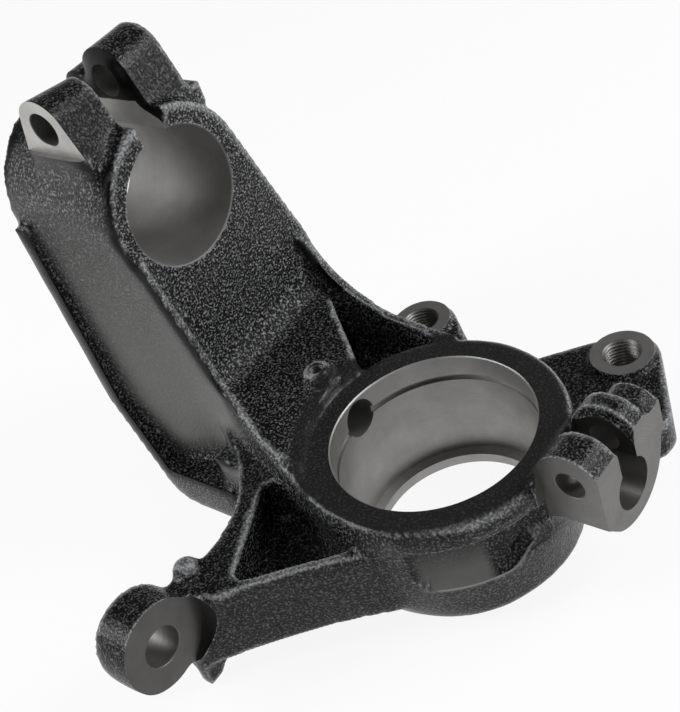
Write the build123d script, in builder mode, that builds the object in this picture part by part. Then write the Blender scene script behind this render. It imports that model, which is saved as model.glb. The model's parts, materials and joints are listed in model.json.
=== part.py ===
from build123d import *
import math
import os

# Steering knuckle, one iron casting with machined faces, in millimetres.
# Z is the wheel bearing axis, pointing inboard, and Z = 0 is the outboard face of the housing.
# Y points up along the strut, X points towards the brake caliper.

# Bearing housing
ring_length = 52
ring_radius = 49
skirt_draft = 4
ring_edge = 3.5
ring_heel = 5
seat_radius = 37.5
seat_depth = 47.5
lip_radius = 33
groove_below_rim = 9
groove_width = 2.6
groove_depth = 1.3
rim_edge = 3
neck_depth = 4
neck_bottom = 26
neck_top = 44
neck_bevel = 3
neck_start = -180
neck_sweep = 80

# Strut clamp
strut_radius = 25
strut_x = 4
strut_z = 136
collar_wall = 8
face_y = 86
collar_back_y = 143
slit_width = 10.5
pinch_y = 107
pinch_z = 177.8
ear_radius = 11.4
right_ear_radius = 12
ear_length = 20
ear_foot = 16
ear_draft = 8
pinch_hole_radius = 6.3
spot_step_z = 168
spot_depth = 1.5
shoulder_front_y = 95
rear_ear_y = 126
rear_ear_z = 172
rear_ear_radius = 7
shoulder_rise = 3
shoulder_bow_x = 6.5
shoulder_bow_z = 23
nut_stop_x = 34
nut_stop_y = 94.5
nut_stop_z = 159.5
nut_stop_width = 9
nut_stop_height = 9

# Tower, a channel open at the back, with a lip along the rear edge of its left wall
tower_back_y = 138
tower_wall = 9
flange_thickness = 6.5
panel_inset = 3
tower_right_x = 49.5
tower_flare_z = 92
front_left_x = -20
heel_top_z = 52
heel_y = 125
heel_radius = 14
ledge_z = 17
lip_height = 5
lip_thickness = 6
lip_top_z = 140
cavity_top_z = 98
cavity_low_y = 64
cavity_bottom_z = 10

# Plateau between the tower face and the ring
bend_z = 62
bend_radius = 10
plateau_ring_y = 44
plateau_ring_z = 56
plateau_left_low = -34
plateau_right_low = 16
web_top = 30
rib_radius = 3.2
rib_ring_z = 47
rib_ring_start = 165
rib_ring_end = 195
rib_crook = 60
rib_ring_bend = 40

# Gusset on the caliper side
gusset_thickness = 5
gusset_ring_x = 46
gusset_ring_y = 20
gusset_bow_y = 10
gusset_bow_z = 3
gusset_run_y = 32

# Tie-rod arm
tie_x = -108
tie_z = 35.5
tie_face_y = 45
tie_boss_length = 16
tie_boss_radius = 17.3
tie_hole_radius = 7.5
tie_face_radius = 19.5
arm_bottom = 11
arm_top = 42
arm_root_angle = 212
arm_waist_x = -80
arm_waist_y = 28.8
arm_hollow_x = -67
arm_hollow_y = 53
recess_floor = 24
recess_corner = 5
recess_tower_x = -33
recess_tower_y = 57
recess_ring_x = -45
recess_ring_y = -3
recess_tie_x = -80
recess_tie_y = 35
stop_radius = 5.5
stop_x = -82
stop_y = 53.6
stop_top_z = 47
fin_thickness = 5
fin_depth = 9
fin_start = 7
fin_tip = 14
fin_length = 28

# Caliper lugs
lug_low_x = 69.5
lug_low_y = -35
lug_high_x = 62
lug_high_y = 52
lug_face_z = 37.5
lug_radius = 11.8
lug_margin = 2
lug_hole_radius = 6.2
plate_bottom = 20
plate_top = 34.5
web_x = 46
web_y = -56
web_radius = 9
web_root_radius = 6

# Ball-joint clamp
stud_x = 11
stud_z = 41
stud_radius = 9.2
clamp_face_y = -71
clamp_radius = 20
clamp_z = 46
clamp_left_x = -7
clamp_slit = 10
bolt_y = -60
bolt_z = 53.7
bolt_radius = 5.4
bolt_barrel = 12.5
barrel_end_x = 25
head_boss_radius = 10.5
head_boss_end_x = 34
head_boss_drop = 2

# Wheel-speed sensor
sensor_radius = 7
sensor_x = 1.8
sensor_below_rim = 8.8
sensor_drop = 9
screw_x = 4
screw_y = 53.5
screw_radius = 2.6
screw_boss_radius = 5.5
screw_face_z = 61
screw_depth = 14

cut_margin = 5
skirt_radius = ring_radius - skirt_draft
rim_face_radius = ring_radius - rim_edge
neck_radius = ring_radius - neck_depth
collar_radius = strut_radius + collar_wall
tower_left_x = strut_x - collar_radius
slit_left_x = strut_x - slit_width / 2
slit_right_x = strut_x + slit_width / 2
seat_x = slit_left_x - ear_length
top_z = pinch_z + ear_radius + cut_margin
face_plane = Plane.XZ.offset(-face_y)


def collar_tangent(point):
    """Point where a line from the given point touches the right side of the collar."""
    dx, dz = point[0] - strut_x, point[1] - strut_z
    angle = math.atan2(dz, dx) + math.acos(collar_radius / math.hypot(dx, dz))
    return (strut_x + collar_radius * math.cos(angle), strut_z + collar_radius * math.sin(angle))


def ring_point(angle, radius, height=0):
    """Point round the bearing axis, with the angle in degrees from X towards Y."""
    turn = math.radians(angle)
    return (radius * math.cos(turn), radius * math.sin(turn), height)


with BuildPart() as ring:
    with BuildSketch(Plane.XZ) as ring_profile:
        Polygon(
            (0, 0),
            (skirt_radius, 0),
            (ring_radius, neck_bottom),
            (ring_radius, ring_length),
            (0, ring_length),
            align=None,
        )
        fillet(ring_profile.vertices().sort_by_distance((ring_radius, ring_length))[0], ring_edge)
        chamfer(ring_profile.vertices().sort_by_distance((skirt_radius, 0))[0], ring_heel)
    revolve(axis=Axis.Z)
    with BuildSketch(Plane.XZ.rotated((0, 0, neck_start))):
        Polygon(
            (neck_radius, neck_bottom + neck_bevel),
            (neck_radius, neck_top - neck_bevel),
            (ring_radius, neck_top),
            (ring_radius + cut_margin, neck_top),
            (ring_radius + cut_margin, neck_bottom),
            (ring_radius, neck_bottom),
            align=None,
        )
    revolve(axis=Axis.Z, revolution_arc=neck_sweep, mode=Mode.SUBTRACT)

with BuildPart() as tower:
    # Collar and right wall
    with BuildSketch(face_plane):
        with BuildLine():
            flare = (tower_right_x, tower_flare_z)
            right = collar_tangent(flare)
            left = (tower_left_x, strut_z)
            ThreePointArc(left, (strut_x, strut_z + collar_radius), right)
            Polyline(right, flare, (tower_right_x, 0), (strut_x, 0), (strut_x, strut_z), left)
        make_face()
    extrude(amount=face_y - collar_back_y)
    # Front flange, whose left edge leans in towards its foot
    lean = (front_left_x - tower_left_x) / (strut_z - bend_z)
    with BuildSketch(face_plane):
        Polygon(
            (tower_left_x, strut_z),
            (tower_left_x + lean * strut_z, 0),
            (strut_x, 0),
            (strut_x, strut_z),
            align=None,
        )
    extrude(amount=-flange_thickness)
    # Left wall, set in behind the flange, which twists from the front edge to the straight rear edge
    for height in (0, strut_z):
        with BuildSketch(Plane.XY.offset(height)):
            Polygon(
                (tower_left_x + lean * (strut_z - height) + panel_inset, face_y),
                (tower_left_x, tower_back_y),
                (strut_x, tower_back_y),
                (strut_x, face_y),
                align=None,
            )
    loft(ruled=True)
    # Ledge that closes the side pocket at its foot
    with BuildSketch():
        Polygon(
            (tower_left_x - lip_height, face_y),
            (tower_left_x - lip_height, tower_back_y),
            (strut_x, tower_back_y),
            (strut_x, face_y),
            align=None,
        )
    extrude(amount=ledge_z)
    # Heel, curved forward to the outboard face
    with BuildSketch(Plane.YZ.offset(tower_left_x - 2 * lip_height)) as heel:
        Polygon(
            (face_y - cut_margin, 0),
            (heel_y, 0),
            (tower_back_y, heel_top_z),
            (tower_back_y, lip_top_z),
            (collar_back_y + cut_margin, lip_top_z),
            (collar_back_y + cut_margin, top_z),
            (face_y - cut_margin, top_z),
            align=None,
        )
        fillet(heel.vertices().sort_by_distance((heel_y, 0))[0], heel_radius)
    extrude(amount=4 * collar_radius, mode=Mode.INTERSECT)
    # Lip along the heel and the rear edge
    with BuildSketch(Plane.YZ.offset(tower_left_x - lip_height)):
        with BuildLine():
            FilletPolyline(
                (tower_back_y, lip_top_z),
                (tower_back_y, heel_top_z),
                (heel_y, 0),
                (face_y, 0),
                radius=heel_radius,
            )
            offset(amount=lip_thickness, side=Side.RIGHT)
        make_face()
    extrude(amount=lip_height + tower_wall)

with BuildPart() as root:
    with BuildSketch():
        Polygon(
            (tower_left_x, face_y + tower_wall),
            (plateau_left_low, plateau_ring_y),
            (plateau_left_low, 0),
            (gusset_ring_x, 0),
            (gusset_ring_x, gusset_ring_y),
            (tower_right_x, face_y + tower_wall),
            align=None,
        )
    extrude(amount=web_top)

with BuildPart() as plateau:
    with BuildSketch(Plane.XY.offset(web_top)):
        Polygon(
            (front_left_x, face_y + tower_wall),
            (front_left_x, face_y),
            (plateau_left_low, plateau_ring_y),
            (plateau_left_low, 0),
            (0, 0),
            (plateau_right_low, plateau_ring_y),
            (tower_right_x, face_y),
            (tower_right_x, face_y + tower_wall),
            align=None,
        )
    extrude(amount=bend_z)
    with BuildSketch(Plane.YZ.offset(plateau_left_low)):
        with BuildLine():
            slope = (bend_z - plateau_ring_z) / (face_y - plateau_ring_y)
            bend_start = (face_y - bend_radius, bend_z - slope * bend_radius)
            bend_end = (face_y, bend_z + bend_radius)
            Polyline(
                bend_end,
                (face_y + tower_wall, bend_z + bend_radius),
                (face_y + tower_wall, 0),
                (0, 0),
                (0, plateau_ring_z - slope * plateau_ring_y),
                bend_start,
            )
            TangentArc(bend_start, bend_end, tangent=(1, slope))
        make_face()
    extrude(amount=4 * collar_radius, mode=Mode.INTERSECT)

with BuildPart() as gusset:
    with BuildSketch(Plane.XY.offset(web_top)):
        Polygon(
            (tower_right_x, face_y + tower_wall),
            (tower_right_x, face_y),
            (gusset_ring_x, gusset_ring_y),
            (gusset_ring_x - gusset_thickness, gusset_ring_y),
            (tower_right_x - gusset_thickness, face_y),
            (tower_right_x - gusset_thickness, face_y + tower_wall),
            align=None,
        )
    extrude(amount=tower_flare_z - web_top)
    with BuildSketch(Plane.YZ.offset(gusset_ring_x - 2 * gusset_thickness)):
        with BuildLine():
            crest_top = (face_y, tower_flare_z)
            crest_low = (gusset_ring_y, ring_length)
            Bezier(
                crest_top,
                (face_y - gusset_bow_y, ring_length + gusset_bow_z),
                (gusset_ring_y + gusset_run_y, ring_length),
                crest_low,
            )
            Polyline(
                crest_low,
                (gusset_ring_y, 0),
                (face_y + tower_wall, 0),
                (face_y + tower_wall, tower_flare_z),
                crest_top,
            )
        make_face()
    extrude(amount=4 * collar_radius, mode=Mode.INTERSECT)

with BuildPart() as rib:
    rib_ring_radius = ring_radius - rib_radius / 2
    with BuildLine() as rib_path:
        FilletPolyline(
            (tower_left_x + rib_radius, face_y, strut_z - collar_wall),
            (front_left_x + rib_radius, face_y, bend_z),
            (plateau_left_low, plateau_ring_y, (plateau_ring_z + rib_ring_z) / 2),
            ring_point(rib_ring_start, rib_ring_radius, rib_ring_z),
            ring_point(rib_ring_end, rib_ring_radius, rib_ring_z),
            radius=[bend_radius, rib_crook, rib_ring_bend],
        )
    with BuildSketch(Plane(origin=rib_path.line @ 0, z_dir=rib_path.line % 0)):
        Circle(rib_radius)
    sweep(path=rib_path.line)
    with Locations(rib_path.line @ 1):
        Sphere(rib_radius)

with BuildPart() as arm:
    with BuildSketch(Plane.XY.offset(arm_bottom)):
        with BuildLine():
            front_start = ring_point(arm_root_angle, skirt_radius)
            front_end = (tie_x + tie_boss_radius / 2, tie_face_y)
            rear_start = (tie_x + tie_boss_radius / 2, tie_face_y + tie_boss_length)
            rear_end = (front_left_x, face_y + flange_thickness)
            Spline(front_start, (arm_waist_x, arm_waist_y), front_end)
            Line(front_end, rear_start)
            Spline(rear_start, (arm_hollow_x, arm_hollow_y), rear_end)
            Polyline(rear_end, (0, face_y), (0, 0), front_start)
        make_face()
    extrude(amount=arm_top - arm_bottom)
    with BuildSketch(Plane.XY.offset(recess_floor)) as recess:
        Polygon(
            (recess_tower_x, recess_tower_y),
            (recess_ring_x, recess_ring_y),
            (recess_tie_x, recess_tie_y),
            align=None,
        )
        fillet(recess.vertices(), recess_corner)
    extrude(amount=arm_top, mode=Mode.SUBTRACT)
    with BuildSketch(Plane.XZ.offset(-tie_face_y)):
        with Locations((tie_x, tie_z)):
            Circle(tie_boss_radius)
    extrude(amount=-tie_boss_length)
    # Steering stop beside the boss, with a ball end
    with BuildSketch(Plane.XY.offset(arm_bottom)):
        with Locations((stop_x, stop_y)):
            Circle(stop_radius)
    extrude(amount=stop_top_z - stop_radius - arm_bottom)
    with Locations((stop_x, stop_y, stop_top_z - stop_radius)):
        Sphere(stop_radius)
    # Fin under the arm
    with BuildSketch(Plane.XZ.offset(-tie_face_y)):
        Polygon(
            (tie_x + fin_start, tie_z),
            (tie_x + fin_start, arm_bottom - fin_depth),
            (tie_x + fin_tip, arm_bottom - fin_depth),
            (tie_x + fin_length, arm_bottom),
            (tie_x + fin_length, tie_z),
            align=None,
        )
    extrude(amount=-fin_thickness)

with BuildPart() as caliper:
    with BuildSketch(Plane.XY.offset(plate_bottom)):
        with Locations((lug_low_x, lug_low_y)):
            Circle(lug_radius + lug_margin)
        with Locations((web_x, web_y)):
            Circle(web_radius)
        with Locations((ring_radius, 0)):
            Circle(web_root_radius)
        with Locations((0, 0)):
            Circle(lip_radius)
        make_hull()
        with BuildSketch(mode=Mode.PRIVATE) as upper:
            with Locations((lug_high_x, lug_high_y)):
                Circle(lug_radius + lug_margin)
            with Locations((ring_radius / 2, ring_radius / 2)):
                Circle(ring_radius / 2)
            make_hull()
        add(upper.sketch)
    extrude(amount=plate_top - plate_bottom)
    with BuildSketch(Plane.XY.offset(plate_bottom)):
        with Locations((lug_low_x, lug_low_y), (lug_high_x, lug_high_y)):
            Circle(lug_radius)
    extrude(amount=lug_face_z - plate_bottom)

with BuildPart() as clamp:
    with BuildSketch(Plane.XZ.offset(-clamp_face_y)):
        with Locations((stud_x, clamp_z)):
            Circle(clamp_radius)
        with Locations((clamp_left_x - clamp_radius, clamp_z)):
            Rectangle(2 * clamp_radius, 4 * clamp_radius, mode=Mode.SUBTRACT)
        with Locations((stud_x, bolt_z + 2 * clamp_radius)):
            Rectangle(4 * clamp_radius, 4 * clamp_radius, mode=Mode.SUBTRACT)
    extrude(amount=clamp_face_y + neck_radius)
    with BuildSketch(Plane.YZ.offset(clamp_left_x)):
        with Locations((bolt_y, bolt_z)):
            Circle(bolt_barrel)
    extrude(amount=barrel_end_x - clamp_left_x)
    with BuildSketch(Plane.YZ.offset(stud_x)):
        with Locations((bolt_y - head_boss_drop, bolt_z - head_boss_drop)):
            Circle(head_boss_radius)
    extrude(amount=head_boss_end_x - stud_x)

with BuildPart() as ears:
    # Right ear with a step that stops the nut, and a lower ear behind it
    with BuildSketch(Plane.YZ.offset(slit_right_x)):
        with Locations((pinch_y, pinch_z)):
            Circle(right_ear_radius)
        with Locations((pinch_y, strut_z + strut_radius)):
            Rectangle(2 * ear_foot, ear_radius)
        make_hull()
        with Locations((rear_ear_y, rear_ear_z)):
            Circle(rear_ear_radius)
        with Locations((rear_ear_y, strut_z + strut_radius)):
            Rectangle(2 * rear_ear_radius, 2 * rear_ear_radius)
    extrude(amount=ear_length)
    with BuildSketch(Plane.YZ.offset(slit_right_x)):
        with Locations((nut_stop_y, nut_stop_z)):
            Rectangle(nut_stop_width, nut_stop_height)
    extrude(amount=nut_stop_x - slit_right_x)
    # Left ear, with a seat milled into it for the bolt head
    with BuildSketch(Plane.YZ.offset(seat_x - spot_depth)):
        with Locations((pinch_y, pinch_z)):
            Circle(ear_radius)
        with Locations((pinch_y, strut_z + strut_radius)):
            Rectangle(2 * ear_foot, ear_radius)
        make_hull()
    extrude(amount=ear_length + spot_depth, taper=ear_draft)
    with BuildSketch(Plane.YZ.offset(seat_x)):
        with Locations((pinch_y, (spot_step_z + top_z) / 2)):
            Rectangle(4 * ear_foot, top_z - spot_step_z)
    extrude(amount=-2 * spot_depth, mode=Mode.SUBTRACT)
    # Shoulder that carries the left ear down the side of the collar
    with BuildSketch(Plane.XZ.offset(-shoulder_front_y)):
        with BuildLine():
            shoulder_low = (tower_left_x, strut_z)
            shoulder_bow = (tower_left_x + shoulder_bow_x, strut_z + shoulder_bow_z)
            shoulder_top = (slit_left_x, strut_z + collar_radius + shoulder_rise)
            ThreePointArc(shoulder_low, shoulder_bow, shoulder_top)
            Polyline(shoulder_top, (slit_left_x, strut_z + strut_radius), shoulder_low)
        make_face()
    extrude(amount=shoulder_front_y - collar_back_y)

with BuildPart() as sensor:
    with BuildSketch(Plane.XY.offset(web_top)):
        with Locations((screw_x, screw_y)):
            Circle(screw_boss_radius)
    extrude(amount=screw_face_z - web_top)

with BuildPart() as knuckle:
    for body in (ring, tower, root, plateau, gusset, rib, arm, caliper, clamp, ears, sensor):
        add(body.part)
    # Channel behind the tower face
    with BuildSketch(Plane.XY.offset(cavity_bottom_z)):
        Polygon(
            (front_left_x + tower_wall, face_y + tower_wall),
            (tower_left_x + tower_wall, tower_back_y + cut_margin),
            (tower_right_x - tower_wall, tower_back_y + cut_margin),
            (tower_right_x - tower_wall, face_y + tower_wall),
            align=None,
        )
    extrude(amount=cavity_top_z - cavity_bottom_z, mode=Mode.SUBTRACT)
    with BuildSketch(Plane.XY.offset(cavity_bottom_z)):
        Polygon(
            (front_left_x + tower_wall, face_y + tower_wall),
            (front_left_x + tower_wall, cavity_low_y),
            (plateau_right_low, cavity_low_y),
            (tower_right_x - tower_wall, face_y + tower_wall),
            align=None,
        )
    extrude(amount=bend_z - 2 * tower_wall - cavity_bottom_z, mode=Mode.SUBTRACT)
    # Bearing seat, snap-ring groove and shoulder
    with BuildSketch(Plane.XY.offset(ring_length)):
        Circle(rim_face_radius)
    extrude(amount=ring_length, mode=Mode.SUBTRACT)
    with BuildSketch(Plane.XY.offset(ring_length)):
        Circle(seat_radius)
    extrude(amount=-seat_depth, mode=Mode.SUBTRACT)
    with BuildSketch(Plane.XY):
        Circle(lip_radius)
    extrude(amount=ring_length, mode=Mode.SUBTRACT)
    with BuildSketch(Plane.XY.offset(ring_length - groove_below_rim - groove_width)):
        Circle(seat_radius + groove_depth)
    extrude(amount=groove_width, mode=Mode.SUBTRACT)
    # Strut bore, slit and pinch bolt
    with BuildSketch(Plane.XZ.offset(-collar_back_y - cut_margin)):
        with Locations((strut_x, strut_z)):
            Circle(strut_radius)
    extrude(amount=collar_back_y - face_y + 2 * cut_margin, mode=Mode.SUBTRACT)
    with BuildSketch(Plane.XZ.offset(-collar_back_y - cut_margin)):
        with Locations((strut_x, strut_z + collar_radius)):
            Rectangle(slit_width, 2 * collar_radius)
    extrude(amount=collar_back_y - face_y + 2 * cut_margin, mode=Mode.SUBTRACT)
    with BuildSketch(Plane.YZ.offset(seat_x - cut_margin)):
        with Locations((pinch_y, pinch_z)):
            Circle(pinch_hole_radius)
    extrude(amount=2 * ear_length + slit_width + 2 * cut_margin, mode=Mode.SUBTRACT)
    # Tie-rod face and hole
    with BuildSketch(Plane.XZ.offset(-tie_face_y)):
        with Locations((tie_x, tie_z)):
            Circle(tie_face_radius)
    extrude(amount=2 * tie_face_radius, mode=Mode.SUBTRACT)
    with BuildSketch(Plane.XZ.offset(-tie_face_y)):
        with Locations((tie_x, tie_z)):
            Circle(tie_hole_radius)
    extrude(amount=-2 * tie_boss_length, mode=Mode.SUBTRACT)
    # Caliper threads
    with BuildSketch(Plane.XY):
        with Locations((lug_low_x, lug_low_y), (lug_high_x, lug_high_y)):
            Circle(lug_hole_radius)
    extrude(amount=lug_face_z, mode=Mode.SUBTRACT)
    # Ball stud bore, end face, slit and bolt
    with BuildSketch(Plane.XZ.offset(-clamp_face_y)):
        with Locations((stud_x, clamp_z)):
            Rectangle(6 * clamp_radius, 4 * clamp_radius)
    extrude(amount=clamp_radius, mode=Mode.SUBTRACT)
    with BuildSketch(Plane.XZ.offset(-clamp_face_y)):
        with Locations((stud_x, stud_z)):
            Circle(stud_radius)
        with Locations((stud_x, stud_z + clamp_radius)):
            Rectangle(clamp_slit, 2 * clamp_radius)
    extrude(amount=clamp_face_y + ring_radius, mode=Mode.SUBTRACT)
    with BuildSketch(Plane.YZ.offset(clamp_left_x - cut_margin)):
        with Locations((bolt_y, bolt_z)):
            Circle(bolt_radius)
    extrude(amount=head_boss_end_x - clamp_left_x + 2 * cut_margin, mode=Mode.SUBTRACT)
    # Sensor hole, which slopes down from the bearing bore into the channel, and its screw hole
    sensor_entry = Vector(sensor_x, seat_radius, ring_length - sensor_below_rim)
    sensor_exit = Vector(sensor_x, cavity_low_y, ring_length - sensor_below_rim - sensor_drop)
    sensor_run = sensor_exit - sensor_entry
    with BuildSketch(Plane(origin=sensor_entry, z_dir=sensor_run).offset(-sensor_radius)):
        Circle(sensor_radius)
    extrude(amount=sensor_run.length + 2 * sensor_radius, mode=Mode.SUBTRACT)
    with BuildSketch(Plane.XY.offset(screw_face_z)):
        with Locations((screw_x, screw_y)):
            Circle(screw_radius)
    extrude(amount=-screw_depth, mode=Mode.SUBTRACT)

knuckle.part.label = "knuckle_casting"
os.makedirs("parts", exist_ok=True)
export_step(knuckle.part, "parts/knuckle_casting.step")
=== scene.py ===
import json
import math

import bmesh
import bpy
import numpy as np
from mathutils import Matrix, Vector, noise


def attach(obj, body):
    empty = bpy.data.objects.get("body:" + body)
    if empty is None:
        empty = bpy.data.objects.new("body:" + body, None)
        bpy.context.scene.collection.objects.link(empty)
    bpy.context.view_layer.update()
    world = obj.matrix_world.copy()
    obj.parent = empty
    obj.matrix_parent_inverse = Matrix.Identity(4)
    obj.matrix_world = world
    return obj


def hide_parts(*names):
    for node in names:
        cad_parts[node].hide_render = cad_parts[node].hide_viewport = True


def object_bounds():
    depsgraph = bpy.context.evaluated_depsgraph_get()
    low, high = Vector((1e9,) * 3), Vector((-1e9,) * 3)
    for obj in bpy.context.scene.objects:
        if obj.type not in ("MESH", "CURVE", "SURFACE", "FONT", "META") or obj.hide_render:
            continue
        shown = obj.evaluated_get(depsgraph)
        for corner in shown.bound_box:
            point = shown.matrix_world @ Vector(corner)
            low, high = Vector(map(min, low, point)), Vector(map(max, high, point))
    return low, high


# Steering knuckle: a black painted sand casting with bare machined bores and faces, in metres.
# Names with FACING compare a normal with an axis, and a blend of that kind runs from FROM to TO.

MM = 0.001
NODE = "knuckle_casting"
ORIGIN = Vector()

# Casting skin: remeshed from the solid, softened, filled in its corners and made wavy
WELD = 0.002 * MM
VOXEL = 1.3 * MM
SMOOTH_PASSES = 9
SMOOTH_IN = 0.5
SMOOTH_OUT = -0.52
FILLET_PASSES = 10
FILLET_SHARE = 0.5
FILLET_START = 0.01 * MM
LEFT_PASSES = 40
LEFT_FACING_FROM = 0.65
LEFT_FACING_TO = 0.9
SCREW_BOSS_RADIUS = 8.5 * MM
SCREW_BOSS_RISE = 2.2 * MM
WAVE_HEIGHT = 0.16 * MM
WAVE_LENGTH = 14 * MM

# Machining: the stock left on the faces before they are cut, and the spare size of a plug
STOCK = 2.6 * MM
SPARE = 0.7 * MM
FAR = 4 * STOCK
FLAT_GAP = 0.02 * MM
FLAT_FACING = 0.999
LEDGE_FACING = 0.6
CRISP_ANGLE = math.radians(38)
ROUND_SIDES = 128
HOLE_SIDES = 64
BORE_CHAMFER = 0.45 * MM
HOLE_CHAMFER = 0.25 * MM
THREAD_CHAMFER = 1.1 * MM
SCREW_CHAMFER = 0.5 * MM
SKIM = 0.3 * MM
GROOVE_DEPTH = 1.3 * MM
GROOVE_WIDTH = 2.6 * MM
RIM_Z = 52 * MM
LUG_FACE_RADIUS = 12.6 * MM
TIE_FACE_RADIUS = 19.5 * MM
CLAMP_FACE_RADIUS = 30 * MM
BOLT_FACE_RADIUS = 13.5 * MM
PINCH_FACE_RADIUS = 13 * MM
OUTBOARD_FACE_RADIUS = 43 * MM
SEAT_REACH = 26 * MM
PINCH_STEP = 9.8 * MM
BOLT_STEP = 11.6 * MM
COLLAR_WALL = 8 * MM
STRUT_SLIT = 10.5 * MM
SLIT_STEP = 0.4 * MM
SLIT_RISE = 1.5 * MM
STUD_SLIT = 10 * MM
STUD_SLIT_TOP_Z = 67 * MM
CALIPER_PITCH = 1.5 * MM
SCREW_PITCH = 1.0 * MM
THREAD_SHARE = 0.54
THREAD_STEPS = 6

# Sensor hole, from the bearing seat down into the tower's channel
SENSOR_ENTRY = Vector((1.8, 37.5, 43.2)) * MM
SENSOR_EXIT = Vector((1.8, 64, 34.2)) * MM
SENSOR_RADIUS = 7.2 * MM

# Neck of the ring, skimmed between two angles in degrees, with its ground patch on the left
NECK_RADIUS = 44.8 * MM
NECK_FLARE = 3.2 * MM
NECK_EDGE = 1.2 * MM
NECK_REACH = 53 * MM
NECK_FILL = 48.4 * MM
NECK_HIGH = 43 * MM
NECK_LOW = 22 * MM
NECK_RAISED = 29 * MM
NECK_SLOPE = 6 * MM
NECK_FADE = 4 * MM
NECK_FADE_ANGLE = 10
NECK_FROM = -162
NECK_TO = -99
NECK_STEP_FROM = -122
NECK_STEP_TO = -106
NECK_STEPS = 66
GROUND_FROM = -156
GROUND_TO = -130
GROUND_BLEND = 4

# Places where the paint changes: the tower's left panel, which takes a painted grey sheen that fades towards
# the top, the ring's rim, with a faint painted sheen, level tops, ears, arm and ring
PANEL_FACING_FROM = 0.84
PANEL_FACING_TO = 0.97
PANEL_FRONT = 70 * MM
PANEL_FOOT = 18 * MM
PANEL_BLEND = 12 * MM
PANEL_X = 0
PANEL_HEAD = 155 * MM
PANEL_FADE = 120 * MM
PANEL_HEAD_SHARE = 0.15
RIM_LOW = RIM_Z - 2 * MM
RIM_HIGH = RIM_Z - 0.5 * MM
RIM_INNER = 50 * MM
RIM_OUTER = 55 * MM
LEVEL_FACING_FROM = 0.7
LEVEL_FACING_TO = 0.95
EARS_Z = 160 * MM
EARS_BLEND = 8 * MM
ARM_X = -34 * MM
ARM_BLEND = 6 * MM
RING_Y = 26 * MM
RING_BLEND = 10 * MM

# How much of the grain is gone in each place, and how grey the paint is there: painted sheen on the rim, and
# the real grey of the ground patch
PANEL_CALM = 0.6
RIM_CALM = 0.9
GROUND_CALM = 0.9
LEVEL_CALM = 0.55
EARS_CALM = 0.65
LOW_CALM = 0.5
LOW_LEVEL_CALM = 0.35
GROUND_GREY = 0.7
RIM_SHEEN = 0.05

# Edges, with a painted highlight along them where the skin is grainy, and a strip of painted shade beside
# them on the left panel
EDGE_LOW = 0.025
EDGE_HIGH = 0.11
LEAST_SPACING = 0.013 * MM
SHADE_STRIP_FACING_FROM = 0.35
SHADE_STRIP_FACING_TO = 0.55
EDGE_SHADE_PASSES = 24
EDGE_SHADE = 6
HIGHLIGHT_GRAIN_FROM = 0.15
HIGHLIGHT_GRAIN_TO = 0.4

# Paint: the range and roughness of plain noise, then each texture, the specks, which are painted glints, the
# colours, with a pale one for painted highlights and a grey one for painted sheen and the ground patch, and
# the gloss
NOISE_LOW = 0.3
NOISE_HIGH = 0.7
NOISE_ROUGHNESS = 0.5
GRAIN_SCALE = 1150
GRAIN_DETAIL = 2
GRAIN_DEPTH = 0.28 * MM
GRAIN_MIDDLE = 0.5
FINE_SCALE = 2200
FINE_DETAIL = 1
FINE_DEPTH = 0.06 * MM
MOTTLE_SCALE = 110
MOTTLE_DETAIL = 3
MOTTLE_ROUGHNESS = 0.6
STREAK_ACROSS = Vector((0.843, -0.487, 0.232))
STREAK_SCALE = 900
STREAK_DETAIL = 4
STREAK_DEPTH = 0.14 * MM
GLINT_LOW = 0.50
GLINT_HIGH = 0.72
HIGHLIGHT_LEAST = 0.3
HIGHLIGHT_LOW = 0.35
HIGHLIGHT_HIGH = 0.65
BLACK_PAINT = (0.003, 0.003, 0.0032, 1)
# Pale colour of the painted glints on grain peaks and of the painted highlights along edges
PAINTED_HIGHLIGHT = (0.30, 0.306, 0.313, 1)
# Grey of the painted sheen on the left panel and the rim, and of the ground patch
SHEEN_AND_GROUND_GREY = (0.20, 0.20, 0.192, 1)
PAINT_ROUGH_LOW = 0.18
PAINT_ROUGH_HIGH = 0.26
GREY_ROUGH = 0.14
PAINT_SPECULAR = 0.17

# Metal tones, from pale to dark, given face by face to match how bright each face looks under the lamps:
# painted light and shade in the metal's colour
PALE_IRON = (0.52, 0.512, 0.49)
BRIGHT_IRON = (0.42, 0.41, 0.39)
CUT_IRON = (0.37, 0.364, 0.35)
DIM_IRON = (0.25, 0.246, 0.235)
BORED_IRON = (0.19, 0.187, 0.178)
DARK_IRON = (0.105, 0.103, 0.098)

# Finishes of bare metal: the least roughness, and how metallic it still looks under oil and dust
MILLED = (0.32, 1.0)
TURNED = (0.42, 1.0)
BORED = (0.6, 0.8)
SAWN = (0.5, 0.5)
LEDGE_FINISH = (0.5, 0.4)
DRILLED = (0.45, 0.8)
DUSTY = (0.5, 0.3)
TAPPED = (0.4, 1.0)
DULL_TAPPED = (0.4, 0.4)

# Marks that the machining leaves, and the clouding of the metal
MARK_SCALE = 2200
MARK_DETAIL = 2
MARK_ROUGHNESS = 0.7
MARK_DEPTH = 0.02 * MM
MARK_STRENGTH = 0.8
MARK_ROUGH = 0.18
CLOUD_SCALE = 90
CLOUD_DETAIL = 4
CLOUD_ROUGHNESS = 0.6
CLOUD_SHADE = 0.78

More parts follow.
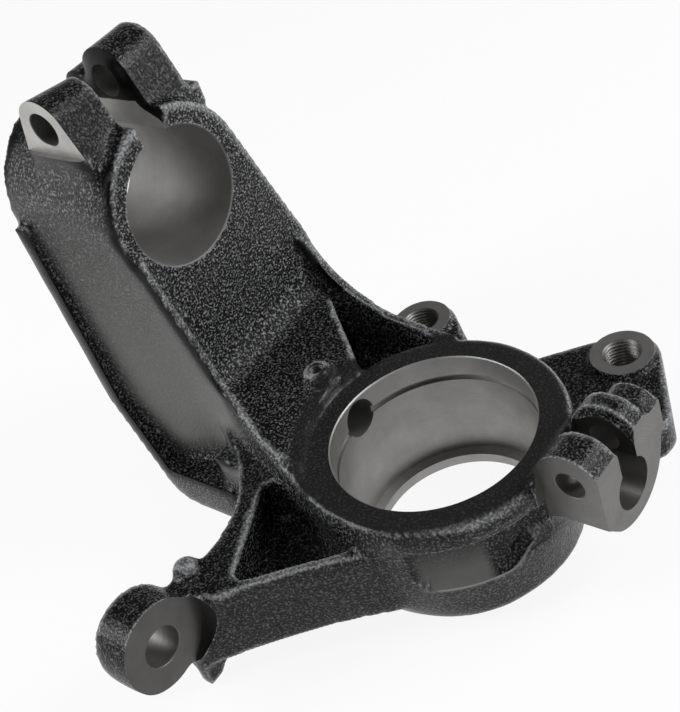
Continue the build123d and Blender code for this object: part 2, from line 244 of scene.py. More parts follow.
# Milled faces: the mount, its end, the face's radius and its tone, with painted light and shade in it
FLATS = [
    ("caliper_thread_low", 1, LUG_FACE_RADIUS, BRIGHT_IRON),
    ("caliper_thread_high", 1, LUG_FACE_RADIUS, BRIGHT_IRON),
    ("tie_rod_hole", 1, TIE_FACE_RADIUS, DARK_IRON),
    ("ball_joint_clamp", 1, CLAMP_FACE_RADIUS, BORED_IRON),
    ("ball_joint_bolt", 1, BOLT_FACE_RADIUS, BORED_IRON),
    ("ball_joint_bolt", -1, BOLT_FACE_RADIUS, DARK_IRON),
    ("strut_pinch_bolt", 1, PINCH_FACE_RADIUS, PALE_IRON),
]

# Seats milled with a straight step: the cutter's corners, measured from the mouth of the hole
STEPPED = {
    ("strut_pinch_bolt", 1): (Vector((0, -SEAT_REACH, -PINCH_STEP)), Vector((0, SEAT_REACH, SEAT_REACH))),
    ("ball_joint_bolt", 1): (Vector((0, -SEAT_REACH, -SEAT_REACH)), Vector((0, BOLT_STEP, SEAT_REACH))),
}
CALIPER_THREADS = ["caliper_thread_low", "caliper_thread_high"]
BOLT_HOLES = ["tie_rod_hole", "ball_joint_bolt", "strut_pinch_bolt"]

# Studio: each lamp has a name, a direction from the part, a size and a power
WHITE = (1, 1, 1, 1)
FLOOR_COLOUR = (0.85, 0.85, 0.85, 1)
FLOOR_SIZE = 40
FLOOR_GLOW = 0.9
WALL_LIGHT = 0.55
CEILING_LIGHT = 0.16
WALL_TOP = 0.05
CEILING_FOOT = 0.35
LAMP_DISTANCE = 1.1
LAMPS = [
    ("right_lamp", (0.495, -0.611, 0.617), 0.42, 7),
    ("left_lamp", (-0.611, 0.617, 0.495), 0.42, 7),
    ("low_lamp", (0.47, -0.86, 0.2), 0.3, 2),
    ("top_lamp", (-0.1, 0.0, 0.995), 0.22, 1.2),
]

# Camera, fitted to the photograph's 680 x 712 frame
CAMERA_PLACE = Vector((-227.3, -251.0, 358.3)) * MM
CAMERA_RIGHT = Vector((0.5802, -0.7588, -0.2959))
CAMERA_BACK = Vector((-0.4954, -0.6172, 0.6113))
CAMERA_NEAR = 10 * MM
FOCAL_PIXELS = 1300
FRAME_PIXELS = 712
SENSOR_WIDTH = 36

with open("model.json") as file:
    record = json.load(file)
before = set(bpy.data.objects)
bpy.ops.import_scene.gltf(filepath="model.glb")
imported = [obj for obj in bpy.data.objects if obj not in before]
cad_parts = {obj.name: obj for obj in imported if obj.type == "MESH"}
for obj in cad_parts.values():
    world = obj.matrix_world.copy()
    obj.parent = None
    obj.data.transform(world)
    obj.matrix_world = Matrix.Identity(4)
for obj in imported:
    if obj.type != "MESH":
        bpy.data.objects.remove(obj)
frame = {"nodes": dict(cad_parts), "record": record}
cad_low, cad_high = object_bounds()
mounts = {mount["name"]: mount for mount in frame["record"]["mounts"]}


def place(name):
    """Middle of a mount's wall."""
    return Vector(mounts[name]["pos_m"])


def along(name):
    """Direction of a mount's axis."""
    return Vector(mounts[name]["axis"])


def radius(name):
    """Radius of a mount's wall."""
    return mounts[name]["dims"]["r_mm"] * MM


def length(name):
    """Length of a mount's wall."""
    return mounts[name]["dims"]["length_mm"] * MM


def mouth(name, side=1):
    """Centre of the face at one end of a mount's wall."""
    return place(name) + along(name) * side * length(name) / 2


def ramp(value, low, high):
    """Share of the way from low to high, from 0 to 1."""
    return np.clip((value - low) / (high - low), 0, 1)


# Solids

def new_object(name, data):
    """Object in the scene that holds a mesh, a lamp or a camera."""
    piece = bpy.data.objects.new(name, data)
    bpy.context.scene.collection.objects.link(piece)
    return piece


def finished(name, solid):
    """Object made from an edited mesh, with its faces turned outwards."""
    bmesh.ops.recalc_face_normals(solid, faces=solid.faces)
    mesh = bpy.data.meshes.new(name)
    solid.to_mesh(mesh)
    solid.free()
    return new_object(name, mesh)


def skinned(name, solid, rings):
    """Closed object through a row of rings with equally many points."""
    sides = len(rings[0])
    for first, second in zip(rings, rings[1:]):
        for side in range(sides):
            after = (side + 1) % sides
            solid.faces.new((first[side], first[after], second[after], second[side]))
    solid.faces.new(list(reversed(rings[0])))
    solid.faces.new(rings[-1])
    return finished(name, solid)


def turned_ring(solid, centre, axis, height, sizes):
    """Ring of points at a height on an axis, with a radius for each point."""
    turn = axis.to_track_quat("Z", "Y").to_matrix()
    ring = []
    for side, size in enumerate(sizes):
        angle = math.tau * side / len(sizes)
        point = Vector((size * math.cos(angle), size * math.sin(angle), height))
        ring.append(solid.verts.new(centre + turn @ point))
    return ring


def turned_solid(name, centre, axis, profile, sides):
    """Closed solid of revolution from (distance along the axis, radius) pairs."""
    solid = bmesh.new()
    rings = [turned_ring(solid, centre, axis, height, [size] * sides) for height, size in profile]
    return skinned(name, solid, rings)


def drill(name, centre, axis, size, low, high, sides=HOLE_SIDES):
    """Plain round bar between two distances along an axis."""
    return turned_solid(name, centre, axis, [(low, size), (high, size)], sides)


def box_solid(name, low, high):
    """Closed box between two corners."""
    solid = bmesh.new()
    bmesh.ops.create_cube(solid, size=1)
    bmesh.ops.scale(solid, vec=high - low, verts=solid.verts)
    bmesh.ops.translate(solid, vec=(low + high) / 2, verts=solid.verts)
    return finished(name, solid)


# Materials

def add_node(tree, kind, values=None, **settings):
    """New node with its settings, and with inputs that take values or other nodes' outputs."""
    node = tree.nodes.new(kind)
    for key, value in settings.items():
        setattr(node, key, value)
    for key, value in (values or {}).items():
        if isinstance(value, bpy.types.NodeSocket):
            tree.links.new(value, node.inputs[key])
        else:
            node.inputs[key].default_value = value
    return node


def new_material(name):
    """Material with an empty node tree."""
    material = bpy.data.materials.new(name)
    material.use_nodes = True
    material.node_tree.nodes.clear()
    return material, material.node_tree


def space_noise(tree, where, scale, detail, roughness=NOISE_ROUGHNESS):
    """Noise that varies in every direction."""
    values = {"Vector": where, "Scale": scale, "Detail": detail, "Roughness": roughness}
    return add_node(tree, "ShaderNodeTexNoise", values).outputs["Fac"]


def line_noise(tree, travel, scale, detail, roughness=NOISE_ROUGHNESS):
    """Noise that varies along one measure alone."""
    values = {"W": travel, "Scale": scale, "Detail": detail, "Roughness": roughness}
    return add_node(tree, "ShaderNodeTexNoise", values, noise_dimensions="1D").outputs["Fac"]


def spread(tree, source, low, high, from_low=NOISE_LOW, from_high=NOISE_HIGH):
    """Values of a texture, brought to the range from low to high."""
    values = {"Value": source, "From Min": from_low, "From Max": from_high, "To Min": low, "To Max": high}
    return add_node(tree, "ShaderNodeMapRange", values).outputs["Result"]


def worked_out(tree, operation, first, second, **settings):
    """Result of a sum, a product or the like."""
    node = add_node(tree, "ShaderNodeMath", {0: first, 1: second}, operation=operation, **settings)
    return node.outputs["Value"]


def blended(tree, kind, factor, first, second):
    """Mix of two values or colours."""
    values = {"Factor": factor, "A": first, "B": second}
    return add_node(tree, "ShaderNodeMix", values, data_type=kind).outputs["Result"]


def bumped(tree, **values):
    """Normal of a surface that a height raises."""
    return add_node(tree, "ShaderNodeBump", values).outputs["Normal"]


def paint_relief(tree, where, grain, depth, ground):
    """Sand grain with a finer grain on top, and scratches on the ground patch."""
    sand = blended(tree, "FLOAT", ground, spread(tree, grain, 0, 1), GRAIN_MIDDLE)
    rough = bumped(tree, Distance=GRAIN_DEPTH, Strength=depth, Height=sand)
    fine = space_noise(tree, where, FINE_SCALE, FINE_DETAIL)
    smooth = bumped(tree, Distance=FINE_DEPTH, Height=fine, Normal=rough)
    across = add_node(tree, "ShaderNodeVectorMath", {0: where, 1: STREAK_ACROSS}, operation="DOT_PRODUCT")
    streak = line_noise(tree, across.outputs["Value"], STREAK_SCALE, STREAK_DETAIL)
    return bumped(tree, Distance=STREAK_DEPTH, Strength=ground, Height=streak, Normal=smooth)


def paint_tone(tree, grain, depth, grey, edge):
    """Black with pale specks of painted glint on the grain's peaks and a painted highlight along edges, and
    grey where the skin is grey: painted sheen on the left panel and the rim, and the real grey of the ground
    patch.
    """
    glint_specks = worked_out(tree, "MULTIPLY", spread(tree, grain, 0, 1, GLINT_LOW, GLINT_HIGH), depth)
    edge_highlight = worked_out(tree, "MULTIPLY", edge, spread(tree, grain, HIGHLIGHT_LEAST, 1, HIGHLIGHT_LOW, HIGHLIGHT_HIGH))
    highlights = worked_out(tree, "ADD", glint_specks, edge_highlight, use_clamp=True)
    return blended(tree, "RGBA", grey, blended(tree, "RGBA", highlights, BLACK_PAINT, PAINTED_HIGHLIGHT), SHEEN_AND_GROUND_GREY)


def cast_paint():
    """Black paint over sand-cast grain, with painted glints, sheen and edge highlights, which reads the skin
    and the edges that the mesh stores.
    """
    material, tree = new_material("black_cast_paint")
    where = add_node(tree, "ShaderNodeTexCoord").outputs["Object"]
    skin = add_node(tree, "ShaderNodeAttribute", attribute_name="skin").outputs["Vector"]
    depth, grey, ground = add_node(tree, "ShaderNodeSeparateXYZ", {"Vector": skin}).outputs
    edge = add_node(tree, "ShaderNodeAttribute", attribute_name="edge").outputs["Fac"]
    grain = space_noise(tree, where, GRAIN_SCALE, GRAIN_DETAIL)
    mottle = space_noise(tree, where, MOTTLE_SCALE, MOTTLE_DETAIL, MOTTLE_ROUGHNESS)
    sheen = spread(tree, mottle, PAINT_ROUGH_LOW, PAINT_ROUGH_HIGH)
    matt = worked_out(tree, "MULTIPLY", grey, GREY_ROUGH)
    surface = {
        "Base Color": paint_tone(tree, grain, depth, grey, edge),
        "Roughness": worked_out(tree, "ADD", matt, sheen),
        "Specular IOR Level": PAINT_SPECULAR,
        "Normal": paint_relief(tree, where, grain, depth, ground),
    }
    shader = add_node(tree, "ShaderNodeBsdfPrincipled", surface)
    add_node(tree, "ShaderNodeOutputMaterial", {"Surface": shader.outputs["BSDF"]})
    return material


def bare_metal(name, colour, centre, axis, faced, finish=MILLED):
    """Machined iron with marks of the cutter: rings round the axis on a face, bands along it in a bore."""
    rough, shine = finish
    material, tree = new_material(name)
    where = add_node(tree, "ShaderNodeTexCoord").outputs["Object"]
    shifted = add_node(tree, "ShaderNodeVectorMath", {0: where, 1: centre}, operation="SUBTRACT")
    offset = shifted.outputs["Vector"]
    if faced:
        travel = add_node(tree, "ShaderNodeVectorMath", {0: offset}, operation="LENGTH")
    else:
        travel = add_node(tree, "ShaderNodeVectorMath", {0: offset, 1: axis}, operation="DOT_PRODUCT")
    marks = line_noise(tree, travel.outputs["Value"], MARK_SCALE, MARK_DETAIL, MARK_ROUGHNESS)
    cloud = space_noise(tree, where, CLOUD_SCALE, CLOUD_DETAIL, CLOUD_ROUGHNESS)
    shaded = [CLOUD_SHADE * part for part in colour]
    surface = {
        "Base Color": blended(tree, "RGBA", spread(tree, cloud, 0, 1), (*shaded, 1), (*colour, 1)),
        "Roughness": spread(tree, marks, rough, rough + MARK_ROUGH),
        "Metallic": shine,
        "Normal": bumped(tree, Distance=MARK_DEPTH, Strength=MARK_STRENGTH, Height=marks),
    }
    shader = add_node(tree, "ShaderNodeBsdfPrincipled", surface)
    add_node(tree, "ShaderNodeOutputMaterial", {"Surface": shader.outputs["BSDF"]})
    return material


# Rough casting: stock on the machined faces, plugs in the bores, then a rounded skin

def stock_faces(solid, centre, normal, reach):
    """Raises the flat round a machined face by the stock that the cut takes off again."""
    flat = []
    for face in solid.faces:
        middle = face.calc_center_median() - centre
        level = abs(middle.dot(normal)) < FLAT_GAP
        if level and face.normal.dot(normal) > FLAT_FACING and middle.length < reach:
            flat.append(face)
    raised = bmesh.ops.extrude_face_region(solid, geom=flat)
    lifted = [item for item in raised["geom"] if isinstance(item, bmesh.types.BMVert)]
    bmesh.ops.translate(solid, vec=normal * STOCK, verts=lifted)
    bmesh.ops.delete(solid, geom=flat, context="FACES")


def rough_casting():
    """Copy of the part with its machined faces left proud."""
    solid = bmesh.new()
    solid.from_mesh(frame["nodes"][NODE].data)
    bmesh.ops.remove_doubles(solid, verts=solid.verts, dist=WELD)
    for name, side, reach, _ in FLATS:
        stock_faces(solid, mouth(name, side), along(name) * side, reach)
    return finished("rough_casting", solid)


def plug_spans(name):
    """Stretches of a hole that run through iron."""
    half = length(name) / 2 + STOCK
    if name == "strut_pinch_bolt":
        return [(-half, -STRUT_SLIT / 2), (STRUT_SLIT / 2, half)]
    return [(-half, half)]


def bore_plugs():
    """Solids that fill the bores, and the ring's neck, until they are cut."""
    plugs = []
    for name in CALIPER_THREADS + BOLT_HOLES:
        for low, high in plug_spans(name):
            plugs.append(drill("plug", place(name), along(name), radius(name) + SPARE, low, high))
    axis = along("bearing_seat")
    seat = radius("bearing_seat") + GROOVE_DEPTH + SPARE
    plugs.append(drill("plug", ORIGIN, axis, seat, 0, RIM_Z, ROUND_SIDES))
    plugs.append(drill("plug", ORIGIN, axis, NECK_FILL, NECK_LOW, NECK_HIGH + SPARE, ROUND_SIDES))
    axis = along("strut_clamp")
    size = radius("strut_clamp") + SPARE
    half = length("strut_clamp") / 2
    plugs.append(drill("plug", place("strut_clamp"), axis, size, -half, half, ROUND_SIDES))
    axis = along("ball_joint_clamp")
    size = radius("ball_joint_clamp") + SPARE
    half = length("ball_joint_clamp") / 2
    plugs.append(drill("plug", place("ball_joint_clamp"), axis, size, -half, half + STOCK))
    return plugs


def joined(name, pieces):
    """One mesh object out of several."""
    whole = bmesh.new()
    for piece in pieces:
        whole.from_mesh(piece.data)
        bpy.data.objects.remove(piece)
    return finished(name, whole)


def applied(piece, name):
    """Object with its modifiers made into its mesh."""
    bpy.context.view_layer.update()
    state = piece.evaluated_get(bpy.context.evaluated_depsgraph_get())
    mesh = bpy.data.meshes.new_from_object(state)
    bpy.data.objects.remove(piece)
    return new_object(name, mesh)


def mesh_arrays(mesh):
    """A mesh's points, its edges and the number of edges at each point."""
    points = np.empty(len(mesh.vertices) * 3, dtype=np.float32)
    mesh.vertices.foreach_get("co", points)
    edges = np.empty(len(mesh.edges) * 2, dtype=np.int32)
    mesh.edges.foreach_get("vertices", edges)
    count = np.bincount(edges, minlength=len(mesh.vertices))[:, None]
    return points.reshape(-1, 3).astype(np.float64), edges.reshape(-1, 2), count


def neighbour_pull(values, edges, count):
    """Step from each point's values to the mean of its neighbours' values, column by column."""
    total = np.zeros_like(values)
    for column in range(values.shape[1]):
        for near, other in ((0, 1), (1, 0)):
            ends = values[edges[:, other], column]
            total[:, column] += np.bincount(edges[:, near], weights=ends, minlength=len(values))
    return total / count - values


def placed_normals(mesh, points):
    """Puts the points into the mesh and returns the normals that it then has."""
    mesh.vertices.foreach_set("co", points.astype(np.float32).ravel())
    mesh.update()
    normals = np.empty(len(points) * 3, dtype=np.float32)
    mesh.vertices.foreach_get("normal", normals)
    return normals.reshape(-1, 3)


def screw_boss(points):
    """Rise of the low dome round the sensor screw."""
    screw = mouth("sensor_screw")
    away = np.hypot(points[:, 0] - screw.x, points[:, 1] - screw.y) / SCREW_BOSS_RADIUS
    on_top = np.abs(points[:, 2] - screw.z) < SCREW_BOSS_RADIUS
    return on_top * SCREW_BOSS_RISE * np.cos(np.clip(away, 0, 1) * math.pi / 2) ** 2


def rounded(piece):
    """Remeshes a piece, softens its edges, fills its inner corners to cast radii and makes it wavy."""
    remesh = piece.modifiers.new("skin", "REMESH")
    remesh.mode = "VOXEL"
    remesh.voxel_size = VOXEL
    piece = applied(piece, "cast_skin")
    mesh = piece.data
    points, edges, count = mesh_arrays(mesh)
    for share in (SMOOTH_IN, SMOOTH_OUT) * SMOOTH_PASSES:
        points += share * neighbour_pull(points, edges, count)
    for _ in range(FILLET_PASSES):
        normals = placed_normals(mesh, points)
        outward = (neighbour_pull(points, edges, count) * normals).sum(axis=1)
        points += normals * (FILLET_SHARE * np.maximum(outward - FILLET_START, 0))[:, None]
    for _ in range(LEFT_PASSES):
        left = ramp(-placed_normals(mesh, points)[:, 0], LEFT_FACING_FROM, LEFT_FACING_TO)
        points += SMOOTH_IN * left[:, None] * neighbour_pull(points, edges, count)
    points[:, 2] += screw_boss(points)
    normals = placed_normals(mesh, points)
    waves = np.array([noise.noise(Vector(point) / WAVE_LENGTH) for point in points])
    points += normals * WAVE_HEIGHT * waves[:, None]
    placed_normals(mesh, points)
    return piece


# Cutters, and the cuts in the order of the machining

def cut(piece, tool, *materials):
    """Cuts a tool's shape out of the piece and gives the new faces the tool's materials."""
    for material in materials:
        tool.data.materials.append(material)
    taken = piece.modifiers.new("cut", "BOOLEAN")
    taken.operation = "DIFFERENCE"
    taken.solver = "MANIFOLD"
    taken.material_mode = "TRANSFER"
    taken.object = tool
    result = applied(piece, piece.name)
    bpy.data.objects.remove(tool)
    return result


def give_ledge(tool):
    """Gives the second material to the tool's faces that look along Z."""
    for face in tool.data.polygons:
        face.material_index = int(abs(face.normal.z) > LEDGE_FACING)
    return tool


def bolt_tool(name):
    """Drill for a through hole, with a small chamfer at both mouths."""
    half = length(name) / 2
    size = radius(name)
    wide = size + HOLE_CHAMFER
    profile = [
        (-half - FAR, wide),
        (-half, wide),
        (-half + HOLE_CHAMFER, size),
        (half - HOLE_CHAMFER, size),
        (half, wide),
        (half + FAR, wide),
    ]
    return turned_solid("tool", place(name), along(name), profile, HOLE_SIDES)


def thread_tool(name, low, high, pitch):
    """Threaded drill whose radius rises and falls along a helix."""
    depth = THREAD_SHARE * pitch
    steps = math.ceil((high - low) / pitch * THREAD_STEPS)
    solid = bmesh.new()
    rings = []
    for step in range(steps + 1):
        height = low + (high - low) * step / steps
        phases = [(height / pitch - side / HOLE_SIDES) % 1 for side in range(HOLE_SIDES)]
        sizes = [radius(name) + depth * (1 - abs(2 * phase - 1)) for phase in phases]
        rings.append(turned_ring(solid, place(name), along(name), height, sizes))
    return skinned("tool", solid, rings)


def neck_tool():
    """Cutter round the ring's neck, with a lower edge that steps up on the right and a runout at each end."""
    solid = bmesh.new()
    rings = []
    for step in range(NECK_STEPS + 1):
        angle = NECK_FROM + (NECK_TO - NECK_FROM) * step / NECK_STEPS
        share = ramp(angle, NECK_STEP_FROM, NECK_STEP_TO)
        eased = share * share * (3 - 2 * share)
        low = NECK_LOW + (NECK_RAISED - NECK_LOW) * eased
        ends = min(angle - NECK_FROM, NECK_TO - angle)
        size = NECK_RADIUS + NECK_FADE * (1 - ramp(ends, 0, NECK_FADE_ANGLE))
        lip = size + NECK_FLARE
        section = [
            (lip, low + NECK_EDGE),
            (NECK_REACH, low + NECK_EDGE - (NECK_REACH - lip)),
            (NECK_REACH, NECK_HIGH),
            (size, NECK_HIGH),
            (size, low + NECK_SLOPE),
        ]
        turn = Matrix.Rotation(math.radians(angle), 3, "Z")
        rings.append([solid.verts.new(turn @ Vector((reach, 0, height))) for reach, height in section])
    return give_ledge(skinned("tool", solid, rings))


def skim_neck(piece, paint):
    """Skims the ring's neck, which is painted over, with bare metal on its ledges that makes a painted
    highlight line along them.
    """
    # Painted highlight: bare pale metal on the ledges stands in for a bright line along them
    pale_ledge_metal = bare_metal("pale_ledge", CUT_IRON, ORIGIN, along("bearing_seat"), False, LEDGE_FINISH)
    return cut(piece, neck_tool(), paint, pale_ledge_metal)


def mill_faces(piece):
    """Mills every flat, some of them with a step, and spots the nut's seat."""
    for number, (name, side, reach, tone) in enumerate(FLATS):
        centre = mouth(name, side)
        axis = along(name) * side
        metals = [bare_metal(f"milled_face_{number}", tone, centre, axis, True)]
        if (name, side) in STEPPED:
            low, high = STEPPED[name, side]
            tool = give_ledge(box_solid("tool", centre + low + axis * FAR, centre + high))
            metals.append(bare_metal(f"milled_ledge_{number}", DARK_IRON, centre, axis, True))
        else:
            tool = drill("tool", centre, axis, reach, 0, FAR)
        piece = cut(piece, tool, *metals)
    axis = along("strut_pinch_bolt")
    spot = mouth("strut_pinch_bolt", -1) + axis * SKIM
    metal = bare_metal("nut_seat", CUT_IRON, spot, axis, True)
    return cut(piece, drill("tool", spot, -axis, PINCH_FACE_RADIUS, 0, FAR), metal)


def bore_bearing(piece):
    """Turns the bearing seat with its groove and shoulder, and skims the outboard face."""
    axis = along("bearing_seat")
    turned = bare_metal("turned_bearing_bore", CUT_IRON, ORIGIN, axis, False, TURNED)
    seat = radius("bearing_seat")
    seat_low = place("bearing_seat").z - length("bearing_seat") / 2
    seat_high = place("bearing_seat").z + length("bearing_seat") / 2
    profile = [
        (-FAR, radius("hub_opening")),
        (seat_low, radius("hub_opening")),
        (seat_low, seat),
        (seat_high, seat),
        (seat_high, seat + GROOVE_DEPTH),
        (seat_high + GROOVE_WIDTH, seat + GROOVE_DEPTH),
        (seat_high + GROOVE_WIDTH, seat),
        (RIM_Z - BORE_CHAMFER, seat),
        (RIM_Z, seat + BORE_CHAMFER),
        (RIM_Z + FAR, seat + BORE_CHAMFER),
    ]
    piece = cut(piece, turned_solid("tool", ORIGIN, axis, profile, ROUND_SIDES), turned)
    skimmed = bare_metal("skimmed_outboard_face", CUT_IRON, ORIGIN, axis, True)
    return cut(piece, drill("tool", ORIGIN, axis, OUTBOARD_FACE_RADIUS, -FAR, SKIM, ROUND_SIDES), skimmed)


def bore_strut(piece):
    """Bores the strut clamp and saws its slit through the collar's wall."""
    strut = place("strut_clamp")
    axis = along("strut_clamp")
    bored = bare_metal("bored_strut_clamp", DIM_IRON, strut, axis, False, BORED)
    half = length("strut_clamp") / 2
    size = radius("strut_clamp")
    profile = [
        (-half - FAR, size + BORE_CHAMFER),
        (-half, size + BORE_CHAMFER),
        (-half + BORE_CHAMFER, size),
        (half + FAR, size),
    ]
    piece = cut(piece, turned_solid("tool", strut, axis, profile, ROUND_SIDES), bored)
    sawn = bare_metal("sawn_slit", BRIGHT_IRON, strut, axis, False, SAWN)
    wide = Vector((STRUT_SLIT / 2 + SLIT_STEP, half + FAR, size + COLLAR_WALL + SLIT_RISE))
    low = strut - Vector((wide.x, wide.y, 0))
    return cut(piece, box_solid("tool", low, strut + wide), sawn)


def bore_stud(piece):
    """Reams the ball stud's bore and saws its slit."""
    stud = place("ball_joint_clamp")
    axis = along("ball_joint_clamp")
    reamed = bare_metal("reamed_stud_bore", CUT_IRON, stud, axis, False)
    half = length("ball_joint_clamp") / 2
    piece = cut(piece, drill("tool", stud, axis, radius("ball_joint_clamp"), -half, half + FAR), reamed)
    sawn = bare_metal("sawn_stud_slit", DARK_IRON, stud, axis, False)
    low = stud - Vector((STUD_SLIT / 2, half + FAR, 0))
    high = Vector((stud.x + STUD_SLIT / 2, stud.y + half, STUD_SLIT_TOP_Z))
    return cut(piece, box_solid("tool", low, high), sawn)


def drill_holes(piece):
    """Drills the bolt holes and the slanting sensor hole."""
    for name in BOLT_HOLES:
        drilled = bare_metal(f"drilled_{name}", BORED_IRON, place(name), along(name), False, DRILLED)
        piece = cut(piece, bolt_tool(name), drilled)
    slope = (SENSOR_EXIT - SENSOR_ENTRY).normalized()
    drilled = bare_metal("drilled_sensor_hole", BORED_IRON, SENSOR_ENTRY, slope, False, DUSTY)
    reach = (SENSOR_EXIT - SENSOR_ENTRY).length + FAR
    return cut(piece, drill("tool", SENSOR_ENTRY, slope, SENSOR_RADIUS, -SENSOR_RADIUS, reach), drilled)


def tap(piece, name, pitch, runout, chamfer, tone, finish):
    """Cuts a thread, which runs out past the end of a through hole, and the countersink at its mouth."""
    tapped = bare_metal(f"tapped_{name}", tone, place(name), along(name), False, finish)
    half = length(name) / 2
    size = radius(name)
    piece = cut(piece, thread_tool(name, -half - runout, half + FAR, pitch), tapped)
    profile = [
        (-chamfer, size),
        (0, size + chamfer),
        (FAR, size + chamfer),
    ]
    sunk = bare_metal(f"sunk_{name}", tone, place(name), along(name), False, finish)
    return cut(piece, turned_solid("tool", mouth(name), along(name), profile, HOLE_SIDES), sunk)


def machine(piece, paint):
    """Cuts every machined face, bore, slit and thread."""
    piece = skim_neck(piece, paint)
    piece = mill_faces(piece)
    piece = bore_bearing(piece)
    piece = bore_strut(piece)
    piece = bore_stud(piece)
    piece = drill_holes(piece)
    for name in CALIPER_THREADS:
        piece = tap(piece, name, CALIPER_PITCH, FAR, THREAD_CHAMFER, BORED_IRON, TAPPED)
    return tap(piece, "sensor_screw", SCREW_PITCH, 0, SCREW_CHAMFER, DARK_IRON, DULL_TAPPED)


# Shading: crisp lines, and what the paint reads from the mesh

def drop_crumbs(solid):
    """Deletes the loose bits that a cut can leave beside the casting."""
    unseen = set(solid.verts)
    islands = []
    while unseen:
        island = [unseen.pop()]
        for point in island:
            near = {edge.other_vert(point) for edge in point.link_edges} & unseen
            unseen -= near
            island.extend(near)
        islands.append(island)
    islands.sort(key=len)
    for crumb in islands[:-1]:
        bmesh.ops.delete(solid, geom=crumb, context="VERTS")


def shade(mesh):
    """Smooth shading, with a crisp line wherever a cut meets the skin or another cut."""
    mesh.shade_smooth()
    solid = bmesh.new()
    solid.from_mesh(mesh)
    drop_crumbs(solid)
    for edge in solid.edges:
        if len(edge.link_faces) == 2:
            first, second = edge.link_faces
            split = first.material_index != second.material_index
            edge.smooth = not (split or edge.calc_face_angle(0) > CRISP_ANGLE)
    solid.to_mesh(mesh)
    solid.free()


def skin_of(points, normals):
    """Grain depth, grey tone and ground patch at each point of the casting; the grey is painted sheen on the
    left panel and the rim, and the real grey of the ground patch.
    """
    x, y, z = points.T
    # The left panel: smoother, with a painted grey sheen on the faces that look along -X, fading towards the
    # top
    panel = ramp(-normals[:, 0], PANEL_FACING_FROM, PANEL_FACING_TO) * (x < PANEL_X)
    panel *= ramp(y, PANEL_FRONT, PANEL_FRONT + PANEL_BLEND) * ramp(z, PANEL_FOOT, PANEL_FOOT + PANEL_BLEND)
    panel *= PANEL_HEAD_SHARE + (1 - PANEL_HEAD_SHARE) * ramp(z, PANEL_HEAD, PANEL_HEAD - PANEL_FADE)
    reach = np.hypot(x, y)
    rim = ramp(z, RIM_LOW, RIM_HIGH) * ramp(reach, RIM_OUTER, RIM_INNER)
    angle = np.degrees(np.arctan2(y, x))
    ground = ramp(angle, GROUND_FROM - GROUND_BLEND, GROUND_FROM)
    ground *= ramp(angle, GROUND_TO + GROUND_BLEND, GROUND_TO)
    ground *= (reach < NECK_FILL) & (z >= NECK_LOW) & (z < NECK_HIGH)
    level = ramp(normals[:, 2], LEVEL_FACING_FROM, LEVEL_FACING_TO)
    ears = ramp(z, EARS_Z, EARS_Z + EARS_BLEND)
    low = np.maximum(ramp(x, ARM_X, ARM_X - ARM_BLEND), ramp(y, RING_Y, RING_Y - RING_BLEND))
    calm = [
        PANEL_CALM * panel,
        RIM_CALM * rim,
        GROUND_CALM * ground,
        LEVEL_CALM * level,
        EARS_CALM * ears,
        LOW_CALM * low,
    ]
    grain = (1 - np.max(calm, axis=0)) * (1 - LOW_LEVEL_CALM * low * level)
    # Grey: painted sheen on the panel and the rim, real grey on the ground patch
    grey = np.max([panel, GROUND_GREY * ground, RIM_SHEEN * rim], axis=0)
    return grain, grey, ground


def sharpness(points, normals, edges, count):
    """How far each point stands out from its neighbours, from 0 on a flat to 1 on an edge."""
    pull = neighbour_pull(points, edges, count)
    spans = np.linalg.norm(points[edges[:, 0]] - points[edges[:, 1]], axis=1)
    spacing = sum(np.bincount(edges[:, end], weights=spans, minlength=len(points)) for end in (0, 1))
    stand = -(pull * normals).sum(axis=1) * count[:, 0] / np.maximum(spacing, LEAST_SPACING)
    return ramp(stand, EDGE_LOW, EDGE_HIGH)


def store(mesh, name, kind, key, values):
    """Keeps a value for each point in the mesh, under the name that the paint reads."""
    layer = mesh.attributes.new(name, kind, "POINT")
    layer.data.foreach_set(key, values.astype(np.float32).ravel())


def dress(mesh):
    """Stores the skin and the painted highlights along edges, with a strip of painted shade beside the edges
    of the left panel.
    """
    points, edges, count = mesh_arrays(mesh)
    normals = placed_normals(mesh, points).astype(np.float64)
    grain, grey, ground = skin_of(points, normals)
    sharp = sharpness(points, normals, edges, count)
    shadow = sharp[:, None]
    for _ in range(EDGE_SHADE_PASSES):
        shadow = shadow + SMOOTH_IN * neighbour_pull(shadow, edges, count)
    # Painted shade: a dark strip beside sharp edges on the faces that look left, where the grain's specks and
    # the grey sheen are taken away
    shade_strip = ramp(-normals[:, 0], SHADE_STRIP_FACING_FROM, SHADE_STRIP_FACING_TO) * (points[:, 1] > PANEL_FRONT)
    unshaded = 1 - shade_strip * np.clip(EDGE_SHADE * shadow[:, 0], 0, 1)
    grain = grain * unshaded
    grey = grey * unshaded
    store(mesh, "skin", "FLOAT_VECTOR", "vector", np.stack((grain, grey, ground), axis=1))
    # Painted highlight along sharp edges where the skin is grainy, with none in the strip of painted shade
    edge_highlight = sharp * ramp(grain, HIGHLIGHT_GRAIN_FROM, HIGHLIGHT_GRAIN_TO) * (1 - shade_strip)
    store(mesh, "edge", "FLOAT", "value", edge_highlight)


def build_casting():
    """The finished casting, which stands for the plain solid."""
    piece = rounded(joined("filled_casting", [rough_casting(), *bore_plugs()]))
    paint = cast_paint()
    piece.data.materials.clear()
    piece.data.materials.append(paint)
    piece = machine(piece, paint)
    piece.name = "knuckle"
    piece.data.name = "knuckle"
    shade(piece.data)
    dress(piece.data)
    return piece


# Studio

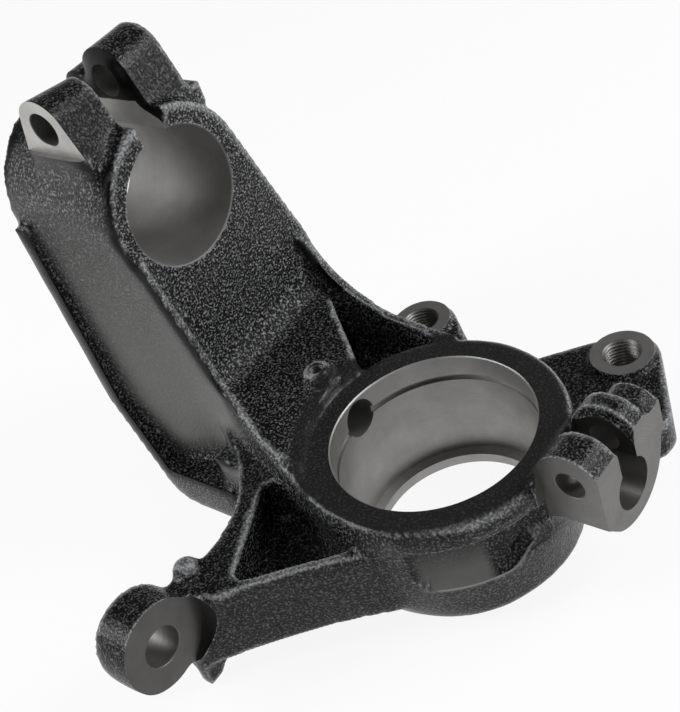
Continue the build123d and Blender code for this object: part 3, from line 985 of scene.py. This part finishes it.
def add_lamp(name, spot, target, size, power):
    """Soft square lamp that faces a target."""
    lamp = bpy.data.lights.new(name, "AREA")
    lamp.size = size
    lamp.energy = power
    holder = new_object(name, lamp)
    holder.location = spot
    holder.rotation_euler = (target - spot).to_track_quat("-Z", "Y").to_euler()


def floor_paint():
    """White to the camera, to mirrors and through glass, and pale where it takes a shadow."""
    material, tree = new_material("pale_floor")
    path = add_node(tree, "ShaderNodeLightPath")
    seen = path.outputs["Is Camera Ray"]
    for ray in ("Is Glossy Ray", "Is Transmission Ray"):
        seen = worked_out(tree, "MAXIMUM", seen, path.outputs[ray])
    matt = add_node(tree, "ShaderNodeBsdfDiffuse", {"Color": FLOOR_COLOUR})
    glow = add_node(tree, "ShaderNodeEmission", {"Color": WHITE, "Strength": 1})
    share = worked_out(tree, "MULTIPLY", seen, FLOOR_GLOW)
    mix = add_node(
        tree,
        "ShaderNodeMixShader",
        {"Fac": share, 1: matt.outputs["BSDF"], 2: glow.outputs["Emission"]},
    )
    add_node(tree, "ShaderNodeOutputMaterial", {"Surface": mix.outputs["Shader"]})
    return material


def add_floor(centre):
    """Pale floor that shows white and still takes the object's shadow."""
    bpy.ops.mesh.primitive_plane_add(size=FLOOR_SIZE, location=(centre.x, centre.y, cad_low.z))
    floor = bpy.context.object
    floor.name = "floor"
    floor.data.materials.append(floor_paint())


def add_world():
    """Pale walls near the horizon under a dim ceiling."""
    world = bpy.data.worlds.new("studio")
    world.use_nodes = True
    tree = world.node_tree
    where = add_node(tree, "ShaderNodeTexCoord").outputs["Generated"]
    height = add_node(tree, "ShaderNodeSeparateXYZ", {"Vector": where}).outputs["Z"]
    level = spread(tree, height, WALL_LIGHT, CEILING_LIGHT, WALL_TOP, CEILING_FOOT)
    background = tree.nodes["Background"]
    background.inputs["Color"].default_value = WHITE
    tree.links.new(level, background.inputs["Strength"])
    bpy.context.scene.world = world


def add_camera():
    """Camera that sees the part as the photograph does."""
    camera = bpy.data.cameras.new("camera")
    camera.sensor_width = SENSOR_WIDTH
    camera.lens = FOCAL_PIXELS / FRAME_PIXELS * SENSOR_WIDTH
    camera.clip_start = CAMERA_NEAR
    holder = new_object("camera", camera)
    back = CAMERA_BACK.normalized()
    up = back.cross(CAMERA_RIGHT).normalized()
    right = up.cross(back)
    turn = Matrix((right, up, back)).transposed().to_4x4()
    holder.matrix_world = Matrix.Translation(CAMERA_PLACE) @ turn
    bpy.context.scene.camera = holder


def add_studio():
    """Floor, walls and lamps round the part."""
    centre = (cad_low + cad_high) / 2
    add_floor(centre)
    add_world()
    for name, direction, size, power in LAMPS:
        add_lamp(name, centre + LAMP_DISTANCE * Vector(direction), centre, size, power)


casting = build_casting()
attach(casting, "root")
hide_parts(NODE)
add_studio()
add_camera()
bpy.context.scene.view_settings.view_transform = "Standard"
